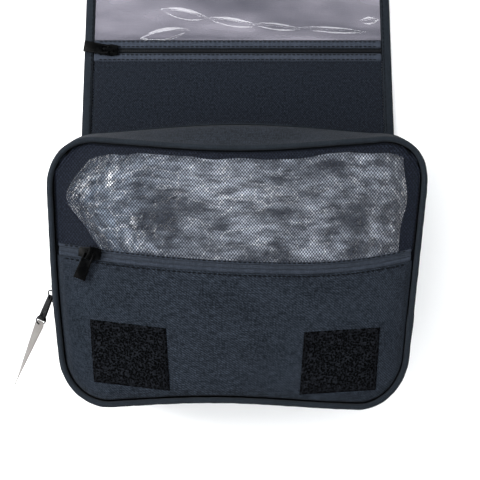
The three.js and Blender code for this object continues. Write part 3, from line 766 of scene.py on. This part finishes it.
def gusset(name, span, body, slot_name, node, out, thickness, material, wrinkle):
    """A wall of cloth all round the pouch between two heights, with soft buckles."""
    low, high = span

    def place(u, v):
        s = u * RIM
        z = lerp(low, high, v)
        near = smooth(3.5 * min(v, 1 - v))
        point, way = rim(s, out)
        buckle = ripple(point.x, point.y, z * 0.6, 19, 5.3) + 0.5 * ripple(point.x, point.y, z, 8, 1.7)
        moved = stuffed(point.x, point.y, z)
        inward = wrinkle * near * (0.55 + 0.45 * buckle)
        return moved - way * max(0.0, inward)

    made = surface(name, 300, 12, place, (RIM, high - low), material, closed=True, thickness=thickness)
    bind(made, body, slot_name, node)


def piping(name, z, body, node, join):
    """Covered cord with its cloth cover drawn round it and lapped where its ends meet."""
    steps = 360

    def path(t):
        point, _ = rim(join + t * RIM, 0.0)
        return stuffed(point.x, point.y, z) + UP * (0.12 * math.sin(t * 190))

    def radius(t):
        lap = math.exp(-((min(t, 1 - t) * RIM) / 7) ** 2)
        return PIPING - 0.12 + 0.1 * math.sin(t * 417) * math.sin(t * 133) + 0.35 * lap

    points = [path(i / steps) for i in range(steps)]

    def place(u, v):
        index = round(v * steps)
        ahead = (points[(index + 1) % steps] - points[index - 1]).normalized()
        side = ahead.cross(UP).normalized()
        turn = 2 * math.pi * u
        girth = side * math.cos(turn) + side.cross(ahead) * math.sin(turn)
        return points[index] + girth * radius(v)

    size = (2 * math.pi * radius(0.5), RIM)
    made = surface(name, 14, steps, place, size, TRIM, closed=True, ring=True)
    bind(made, body, "trim_tape", node)


def wall_band(name, span, body, node):
    """Zip tape along the main zip's run."""
    low, high = span

    def place(u, v):
        at = on_wall(lerp(ZIP_START, ZIP_STOP, u), HINGE_Z, -0.3)
        return at + UP * (lerp(low, high, v) - HINGE_Z)

    made = surface(name, 260, 4, place, (ZIP_STOP - ZIP_START, high - low), TRIM, thickness=1.0)
    bind(made, body, "trim_tape", node)


def main_coil(name, z, body, node):
    """One half's closed coil along the main zip's run."""
    def path(t):
        s = lerp(ZIP_START + 1, ZIP_STOP - 1, t)
        point = on_wall(s, HINGE_Z, -0.5)
        _, way = rim(s, 0.0)
        return Vector((point.x, point.y, z)), way

    made = zip_coil(name, path, 0.46, 1.0, ZIP_STOP - ZIP_START, COIL, pitch=1.7)
    bind(made, body, "zip_coil", node)


def build_lower_gusset():
    """The wall's cloth between the zip's two ends, baked in place; nothing here makes it bend as the front
    opens.
    """
    def place(u, v):
        s = lerp(ZIP_STOP + 0.3, RIM + ZIP_START - 0.3, u)
        z = lerp(STRIP_LOW, STRIP_LOW + STRIP_HEIGHT, v)
        near = smooth(4 * min(v, 1 - v))
        point, way = rim(s, -0.1)
        buckle = 0.5 * near * (0.5 + 0.5 * ripple(point.x, point.y, z, 15, 2.9))
        return stuffed(point.x, point.y, z) - way * buckle

    length = RIM - (ZIP_STOP - ZIP_START)
    made = surface("lower_gusset", 150, 14, place, (length, STRIP_HEIGHT), CLOTH, thickness=1.6)
    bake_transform(made)
    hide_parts("lower_gusset_back", "lower_gusset_front")


def build_pouch_walls():
    for half, span, body in (("back", BACK_WALL, "pouch_back"), ("front", FRONT_WALL, "front_lid")):
        gusset(f"{half}_gusset_cloth", span, body, "body_cloth", f"{half}_gusset", -0.05, 1.5, CLOTH, 0.7)
        gusset(f"{half}_gusset_inside", span, body, "lining", f"{half}_gusset_lining", -3.0, 0.6, LINING, 0.0)
    piping("back_piping_cover", BACK_PIPING_Z, "pouch_back", "back_piping", 0)
    piping("front_piping_cover", FRONT_PIPING_Z, "front_lid", "front_piping", 167)
    build_lower_gusset()
    wall_band("zip_tape_back", BACK_TAPE, "pouch_back", "main_zip_back_tape")
    wall_band("zip_tape_front", FRONT_TAPE, "front_lid", "main_zip_front_tape")
    main_coil("zip_coil_back", BACK_COIL_Z, "pouch_back", "main_zip_back_coil")
    main_coil("zip_coil_front", FRONT_COIL_Z, "front_lid", "main_zip_front_coil")


# ---- front of the pouch ----
def on_front(x, y, level):
    """A point of the front face, level millimetres up before its swell."""
    place = stuffed(x, y, FRONT_PIPING_Z)
    place.z = level + puff(x, y)
    return place


def front_band(name, low, high, level, rows, rise, material, thickness):
    """A band that follows the front zip between two distances from its middle; rise shapes its top."""
    half = HALF_WIDTH - BAND_INSET

    def place(u, v):
        x = lerp(-half, half, u)
        y = zip_line(x) + lerp(low, high, v)
        return on_front(x, y, level + rise(x, v))

    return surface(name, 200, rows, place, (2 * half, high - low), material, thickness=thickness)


def front_row(name, offset, level):
    """Stitches along the front zip at one distance from its middle."""
    half = HALF_WIDTH - ROW_INSET

    def path(t):
        x = lerp(-half, half, t)
        return on_front(x, zip_line(x) + offset, level), UP

    return stitches(name, path, 2 * half)


def build_front_pocket():
    def divider(u, v):
        x, y = pouch_face(u, v)
        point = stuffed(x, y, 72)
        return Vector((point.x, point.y, 72.7 + 0.3 * ripple(x, y, 0, 30, 4.4)))

    sheet = surface("pocket_divider_cloth", 60, 44, divider, (248, 178), LINING, thickness=0.6)
    bind(sheet, "front_lid", "lining", "pocket_divider")

    def film(u, v):
        side = 1 + 0.04 * ripple(0, v * 60, 0, 13, 7.7)
        x = (HALF_WIDTH - PANEL_INSET - 8) * side * math.sin((u - 0.5) * math.pi * 0.98)
        ragged = 1 + 0.035 * ripple(x, 0, 0, 26, 3.9)
        edge = front_edge(x, PANEL_INSET)
        y = lerp(-0.82 * edge, 0.955 * edge * ragged, v)
        low = crease(x, y, 44, 1.3) * 2.6 + crease(x, y, 19, 8.1) * 1.4 + crease(x, y, 7.5, 4.6) * 0.7
        fade = edge_fade(u, v, 9)
        level = FILM_Z - fade * min(4.4, low) - (1 - fade) * 1.5
        drawn_in = 0.7 * (math.hypot(y - 52, 10) - 10)
        x += min(34, drawn_in) * smooth((-x - 50) / 60)
        return on_front(x, min(y, edge - 3), level)

    sheet = surface("packing_film_sheet", 210, 150, film, (236, 165), FILM)
    bind(sheet, "front_lid", "packing_film", "pocket_packing_film")


def build_window():
    def keep(x, y):
        if abs(x) > HALF - 0.6:
            return False
        return zip_line(x) + ZIP_HEM - 0.8 < y < front_edge(x, SEAM_INSET) - 0.3

    def place(x, y):
        return on_front(x, y, NET_Z - 0.5 * (0.5 + 0.5 * ripple(x, y, 0, 26, 6.2)))

    made = net("window_net", 60, 70, (2.06, 1.3), place, keep, NET)
    bind(made, "front_lid", "net", "mesh_window")

    def hem_rise(x, v):
        return 0.85 * math.sin(math.pi * v) ** 0.3 + 0.12 * ripple(x, v * 9, 0, 7, 2.2)

    hem = front_band("window_hem", 1.5, ZIP_HEM, HEM_Z, 8, hem_rise, BANDING, 0.5)
    bind(hem, "front_lid", "trim_tape", "mesh_window_hem")
    bind(front_row("window_stitch", 2.9, HEM_ROW_Z), "front_lid", "trim_tape")


def build_front_zip():
    tape = front_band("front_zip_cloth_tape", -BAND, ZIP_HEM, TAPE_Z, 6, lambda *_: 0.0, TRIM, 0.5)
    bind(tape, "front_lid", "trim_tape", "front_zip_tape")

    half = HALF_WIDTH - TEETH_INSET

    def path(t):
        x = lerp(-half, half, t)
        return on_front(x, zip_line(x), TEETH_Z), UP

    teeth = zip_coil("front_zip_teeth", path, 1.5, 1.0, 2 * HALF, ZIP_WEB, pitch=1.5, rib=0.1)
    bind(teeth, "front_lid", "zip_coil", "front_zip_coil")

    def roll(x, v):
        return 1.25 * math.sin(math.pi * min(0.94, max(0.06, v))) ** 0.4 + 0.2 * ripple(x, 0, 0, 16, 9.4)

    welt = front_band("pocket_welt", -ZIP_WELT, -1.5, WELT_Z, 8, roll, BANDING, 0.6)
    bind(welt, "front_lid", "body_cloth", "front_pocket_welt")
    bind(front_row("panel_stitch", -ZIP_WELT - 1.6, PANEL_ROW_Z), "front_lid", "trim_tape")


def panel_level(x, y):
    """Height of the lower panel's top, rolled down to its seam at the piping."""
    edge = front_edge(x, SEAM_INSET)
    inset = min(edge - abs(y), HALF + 0.2 - abs(x)) if y < 0 else HALF + 0.2 - abs(x)
    rolled = 1.6 * (1 - smooth(inset / 5.0)) if inset < 5.0 else 0.0
    soft = 0.45 * ripple(x, y, 0, 42, 1.9) + 0.22 * ripple(x, y, 0, 15, 6.4)
    return PANEL_Z + soft - rolled


def build_lower_panel():
    def place(u, v):
        x = HALF * math.sin((u - 0.5) * math.pi)
        edge = front_edge(x, SEAM_INSET)
        y = lerp(-edge, zip_line(x) - ZIP_WELT - 0.1, v)
        return on_front(x, y, panel_level(x, y))

    made = surface("lower_panel_cloth", 150, 70, place, (2 * HALF, 92), CLOTH, thickness=1.5)
    bind(made, "front_lid", "body_cloth", "front_lower_panel")


def patch_square(name, spot, height, body, node, seed):
    """A square of hook or loop tape; height gives the cloth's level under a place."""
    cx, cy, tilt, lean = spot
    wide, tall = PATCH_SIZE

    def spread(u, v):
        return cx + u + lean * v, cy + v + tilt * u

    def place(u, v):
        x, y = spread((u - 0.5) * wide, (v - 0.5) * tall)
        inset = min(u * wide, (1 - u) * wide, v * tall, (1 - v) * tall)
        fluff = 0.5 + 0.5 * ripple(x, y, 0, 1.3, seed) + 0.3 * ripple(x, y, 0, 5.2, seed + 2)
        return height(x, y) + UP * (0.25 + smooth(inset / 1.6) * (0.75 + 0.55 * fluff))

    made = surface(name, int(wide * 1.8), int(tall * 1.8), place, (wide, tall), FUZZY, thickness=0.4)
    bind(made, body, "hook_and_loop", node)
    corners = ((-1, -1), (1, -1), (1, 1), (-1, 1))
    half = (wide / 2 - 1.6, tall / 2 - 1.6)

    def path(t):
        side = min(3, int(t * 4))
        share = t * 4 - side
        a, b = corners[side], corners[(side + 1) % 4]
        x, y = spread(half[0] * lerp(a[0], b[0], share), half[1] * lerp(a[1], b[1], share))
        return height(x, y) + UP * 1.5, UP

    row = stitches(f"{name}_stitches", path, 2 * (wide + tall), pitch=3.0, stitch=2.0, width=0.3)
    bind(row, body, "trim_tape")


def build_patches():
    def under(x, y):
        flat = x / (1 - TAPER * (TAPER_FROM - y))
        return Vector((x, y, panel_level(flat, y) + puff(flat, y) + 0.1))

    for name, spot in HOOK_PATCHES.items():
        patch_square(f"hook_square_{name}", spot, under, "front_lid", f"hook_patch_{name}", 3.3 + spot[0])


# ---- flap ----
def flap_half(y):
    return FLAP_HALF + FLAP_SPREAD * max(0.0, FLAP_NARROW - y)


def flap_limit(y, margin):
    """Half width of the flap, rounded in at its far corners."""
    half = flap_half(y) - margin
    past = y - (FLAP_END - FLAP_CORNER)
    if past > 0:
        radius = FLAP_CORNER - margin
        half -= radius - math.sqrt(max(0.0, radius * radius - min(radius, past) ** 2))
    return half


def flap_surface(name, start, end, level, margin, rows, columns, material, thickness, crowding=1.0):
    """A layer of the flap; level gives its height at a place, crowding packs the rows towards the start."""
    def place(u, v):
        y = lerp(start, end, v ** crowding)
        x = (2 * u - 1) * flap_limit(y, margin)
        return Vector((x, y, level(x, y)))

    size = (2 * FLAP_HALF, end - start)
    return surface(name, columns, rows, place, size, material, thickness=thickness)


def lined(made):
    """Gives the upper side of a flap cloth the lining's finish."""
    made.data.materials.append(LINING)
    for face in made.data.polygons:
        if face.normal.z > 0.5:
            face.material_index = 1
    return made


def flap_row(name, y, level):
    """Stitches straight across the flap."""
    half = flap_half(y) - FLAP_ROW_INSET

    def path(t):
        return Vector((lerp(-half, half, t), y, level)), UP

    return stitches(name, path, 2 * half)


FIRST_FOLD = ("pouch_back", "flap_lower", FOLD_ONE)
SECOND_FOLD = ("flap_lower", "flap_upper", FOLD_TWO)


def build_flap_cloth():
    def level(x, y):
        return FLAP_CLOTH_Z + 0.25 * ripple(x, y, 0, 30, 2.7)

    inset = CLOTH_INSET
    root = lined(flap_surface("flap_root_cloth", FLAP_START, FLAP_JOIN, level, inset, 40, 60, CLOTH, 1.3))
    bind_fold(root, FIRST_FOLD, FOLD_REACH, "body_cloth", "flap_root_panel")
    end = FLAP_END - inset
    main = lined(flap_surface("flap_cloth", FLAP_JOIN, end, level, inset, 150, 60, CLOTH, 1.3))
    bind_fold(main, SECOND_FOLD, LONG_REACH, "body_cloth", "flap_lower_panel", "flap_upper_panel")


def binding_points():
    """Points along the middle of the binding from one side round the far end to the other."""
    inset = BINDING / 2
    half = FLAP_HALF - inset
    radius = FLAP_CORNER - inset
    top = FLAP_END - inset
    sloped = [lerp(FLAP_JOIN, FLAP_NARROW, i / 14) for i in range(15)]
    points = [(flap_half(y) - inset, y) for y in sloped]
    points += [(half, lerp(FLAP_NARROW, top - radius, i / 40)) for i in range(1, 41)]
    for i in range(1, 13):
        turn = i * math.pi / 24
        points.append((half - radius + radius * math.cos(turn), top - radius + radius * math.sin(turn)))
    points += [(lerp(half - radius, 0, i / 20), top) for i in range(1, 21)]
    mirrored = [(-x, y) for x, y in reversed(points[:-1])]
    return [Vector((x, y, 0)) for x, y in points + mirrored]


def route(points):
    """A path along joined points, as a function of a share from 0 to 1, and its length."""
    lengths = [0.0]
    for a, b in zip(points, points[1:]):
        lengths.append(lengths[-1] + (b - a).length)

    def path(t):
        want = t * lengths[-1]
        index = 1
        while index < len(lengths) - 1 and lengths[index] < want:
            index += 1
        share = (want - lengths[index - 1]) / (lengths[index] - lengths[index - 1])
        return points[index - 1].lerp(points[index], clamp(share))

    return path, lengths[-1]


def outward(path, t):
    """Level way out of the flap at a share of a path along its edge."""
    ahead = path(clamp(t + 0.004)) - path(clamp(t - 0.004))
    return Vector((ahead.y, -ahead.x, 0)).normalized()


# Cross-section of the folded tape: across the flap's edge and up, in millimetres
BINDING_PROFILE = ((-3.45, 0.6), (-3.45, 3.6), (-3.0, 4.7), (-2.0, 5.0), (0.0, 4.85), (2.0, 5.0),
                   (3.1, 4.7), (3.5, 3.4), (3.5, 1.3), (3.0, 0.2), (0.0, 0.1), (-3.0, 0.1))
BINDING_GIRTH = 26.0


def binding(name, path, length, steps):
    """Folded tape round the flap's edge: a soft flattened tube over the cloth's edge."""
    count = len(BINDING_PROFILE)

    def place(u, v):
        here = path(v)
        across, up = BINDING_PROFILE[round(u * count) % count]
        soft = 0.14 * ripple(here.x, here.y, u * 3, 9, 3.7) if up > 2 else 0.0
        return here + outward(path, v) * across + UP * max(0.05, up + soft)

    return surface(name, count, steps, place, (BINDING_GIRTH, length), TRIM, closed=True)


def binding_row(name, path, length):
    """Stitches along the binding, near its inner edge."""
    def row(t):
        return path(t) - outward(path, t) * 2.2 + UP * 5.0, UP

    return stitches(name, row, length)


def build_binding():
    rows = []
    for side, word in ((-1, "left"), (1, "right")):
        ys = [lerp(BINDING_START, FLAP_JOIN, i / 16) for i in range(17)]
        points = [Vector((side * (flap_half(y) - BINDING / 2), y, 0)) for y in ys]
        if side < 0:
            points.reverse()
        path, length = route(points)
        made = binding(f"flap_side_binding_{word}", path, length, 40)
        bind_fold(made, FIRST_FOLD, FOLD_REACH, "trim_tape", f"flap_lower_binding_{word}")
        rows.append((f"flap_side_stitch_{word}", path, length, FIRST_FOLD))
    path, length = route(binding_points())
    made = binding("flap_end_binding", path, length, 420)
    bind_fold(made, SECOND_FOLD, LONG_REACH, "trim_tape", "flap_upper_binding")
    rows.append(("flap_end_stitch", path, length, SECOND_FOLD))
    for name, path, length, fold in rows:
        bind_fold(binding_row(name, path, length), fold, LONG_REACH, "trim_tape")


def flap_band(name, start, body, node):
    """A sewn band across the flap, its edges turned under."""
    end = start + HEM_WIDTH

    def level(x, y):
        crown = math.sin(math.pi * clamp((y - start) / HEM_WIDTH)) ** 0.4
        return BAND_FOOT + (BAND_TOP - BAND_FOOT) * crown + 0.12 * ripple(x, y, 0, 9, 5.9)

    made = flap_surface(name, start, end, level, FLAP_BAND_INSET, 8, 120, FLAP_BANDING, 0.4)
    bind(made, body, "trim_tape", node)
    for index, y in enumerate((start + 1.3, end - 1.3)):
        bind(flap_row(f"{name}_stitch_{index}", y, BAND_TOP - 0.15), body, "trim_tape")


def flap_zip(name, y, body, tape_node, coil_node):
    """Tape and closed coil of a zip across the flap."""
    low, high = y - BAND, y + BAND
    inset = FLAP_TAPE_INSET
    tape = flap_surface(f"{name}_cloth_tape", low, high, lambda *_: FLAP_TAPE_Z, inset, 4, 60, TRIM, 0.25)
    bind(tape, body, "trim_tape", tape_node)
    half = flap_half(y) - FLAP_TEETH_INSET

    def path(t):
        return Vector((lerp(-half, half, t), y, FLAP_TEETH_Z)), UP

    teeth = zip_coil(f"{name}_teeth", path, 1.45, 1.35, 2 * half, COIL, pitch=1.5)
    bind(teeth, body, "zip_coil", coil_node)


def build_net_pocket():
    middle = 127.0
    top = NET_ZIP - COIL_HALF - GAP
    above = NET_ZIP + COIL_HALF + GAP

    def keep(x, y):
        inside = abs(x) < flap_half(y + middle) - FLAP_BAND_INSET
        return inside and 97.5 < y + middle < top - HEM_WIDTH + 0.8

    def place(x, y):
        return Vector((x, y + middle, FLAP_NET_Z + 0.35 * ripple(x, y, 0, 30, 8.8)))

    made = net("flap_net", 68, 32, (1.78, 1.0), place, keep, DARK_NET)
    bind_fold(made, FIRST_FOLD, FOLD_REACH, "net", "net_pocket")
    flap_band("net_pocket_band", top - HEM_WIDTH, "flap_lower", "net_pocket_hem")
    flap_zip("flap_zip", NET_ZIP, "flap_lower", "flap_zip_tape", "flap_zip_coil")
    flap_band("vinyl_lower_band", above, "flap_lower", "clear_pocket_band")


# Long blisters in the clear sheet by the fold: both ends and half width
BLISTERS = (
    ((-59, 197), (-22, 190), 4.6),
    ((-25, 190.5), (17, 184), 3.6),
    ((10, 186), (48, 181.5), 2.8),
    ((44, 183), (99, 179.5), 2.4),
    ((-75, 175), (-36, 181.5), 4.8),
    ((92, 188), (107, 189), 3.0),
    ((-34, 205), (44, 214), 2.6),
)
BLISTER_HEIGHT = 0.55
UPPER_SLOPE = 0.18
LOWER_SLOPE = 0.44


def blister(x, y, start, end, half):
    """Height of one blister: flat on top, gentler on its upper side than its lower one."""
    length = math.dist(start, end)
    along_x, along_y = (end[0] - start[0]) / length, (end[1] - start[1]) / length
    far = (x - start[0]) * along_x + (y - start[1]) * along_y
    off = (y - start[1]) * along_x - (x - start[0]) * along_y
    share = 2 * far / length - 1
    inside = half * (1 - share * share) - abs(off)
    slope = lerp(LOWER_SLOPE, UPPER_SLOPE, smooth(off / half + 0.5))
    return min(BLISTER_HEIGHT, slope * max(0.0, inside))


def build_vinyl():
    """One clear sheet over both halves of the flap, with long soft buckles by the fold."""
    def level(x, y):
        ends = smooth((y - 174) / 5) * smooth((312 - y) / 8)
        edge = ends * smooth((flap_half(y) - VINYL_INSET - abs(x)) / 30)
        drift = 0.5 + 0.5 * ripple(x, y, 0, 60, 2.3)
        small = 0.5 + 0.5 * ripple(x * 0.55, y * 1.5 + 0.18 * x, 0, 15, 4.1)
        raised = sum(blister(x, y, *shape) for shape in BLISTERS)
        return VINYL_Z + raised + edge * (0.35 * small + 1.2 * drift)

    made = flap_surface("vinyl_sheet", VINYL_START, VINYL_END, level, VINYL_INSET, 300, 280, VINYL, 0.0, 2.0)
    bind_fold(made, SECOND_FOLD, LONG_REACH, "clear_vinyl", "clear_pocket_lower", "clear_pocket_upper")
    below = CLEAR_ZIP - COIL_HALF - GAP - HEM_WIDTH
    flap_band("vinyl_upper_band", below, "flap_upper", "clear_pocket_hem")
    flap_zip("clear_zip", CLEAR_ZIP, "flap_upper", "clear_zip_tape", "clear_zip_coil")
    flap_band("flap_end_strip", CLEAR_ZIP + COIL_HALF + GAP, "flap_upper", "flap_end_band")


def on_flap(x, y):
    """A point under the loop squares, just over the flap's cloth."""
    return Vector((x, y, SQUARE_Z))


def build_loop_patches():
    for name, spot in HOOK_PATCHES.items():
        place = (spot[0], FOLD_TWO + FOLD_ONE - spot[1], 0, 0)
        square = f"loop_square_{name}"
        patch_square(square, place, on_flap, "flap_upper", f"loop_patch_{name}", 5.3 + spot[0])


# ---- hook, zip hardware and tag ----
def main_pull_line():
    """Where the pull on the side is hinged to its slider, and the way it hangs."""
    def on_zip(y):
        return stuffed(-HALF_WIDTH - 0.2, y, HINGE_Z) - Vector((MAIN_SLIDER_OUT, 0, 0))

    down = (on_zip(MAIN_SLIDER_Y - 30) - on_zip(MAIN_SLIDER_Y + 60)).normalized()
    away = Vector((-1, 0, MAIN_TILT))
    away = (away - down * away.dot(down)).normalized()
    lift = math.radians(MAIN_PULL_LIFT)
    return on_zip(MAIN_SLIDER_Y) + away * PULL_RISE, down * math.cos(lift) + away * math.sin(lift)


def build_hardware():
    bind(refined("hook_strap", TRIM, 0.2), "flap_upper", "trim_tape", "hook_strap")
    bind(refined("hook_frame", NYLON, 0.35), "hook_frame", "black_plastic", "hook_frame")
    bind(refined("hook", NYLON, 0.0), "hook", "black_plastic", "hook")
    for node, body in (("front_slider", "front_slider"), ("main_slider", "main_slider"),
                       ("flap_slider", "flap_slider"), ("clear_pocket_slider", "clear_slider")):
        bind(refined(node, BLACK, 0.32), body, "black_metal", node)
    for node, body in (("front_pull_tab", "front_pull"), ("flap_pull_tab", "flap_pull"),
                       ("clear_pocket_pull_tab", "clear_pull")):
        bind(refined(node, BLACK, 0.3), body, "black_metal", node)
    root, way = main_pull_line()
    pull = twist(refined("main_pull_tab", BLACK, 0.3), root, way, PULL_LENGTH, -0.35, -0.45)
    bind(pull, "main_pull", "black_metal", "main_pull_tab")
    bind(refined("tag_loop", THREAD, 0.0), "main_pull", "tag_cord", "tag_loop")
    tag = twist(refined("blank_tag", CARD, 0.05), root + way * TAG_FROM, way, TAG_LENGTH, -0.32, 0.0)
    bind(tag, "tag", "tag_card", "blank_tag")


def build_stage():
    bpy.ops.mesh.primitive_plane_add(size=8, location=(0, 0, 0))
    floor = bpy.context.object
    floor.name = "floor"
    paper, _ = new_material("floor", {"Base Color": (0.95, 0.95, 0.95, 1), "Roughness": 0.9})
    floor.data.materials.append(paper)


make_camera()
make_studio()
make_key_lamp()
build_stage()
build_back()
build_pouch_walls()
build_front_pocket()
build_window()
build_front_zip()
build_lower_panel()
build_patches()
build_flap_cloth()
build_binding()
build_net_pocket()
build_vinyl()
build_loop_patches()
build_hardware()
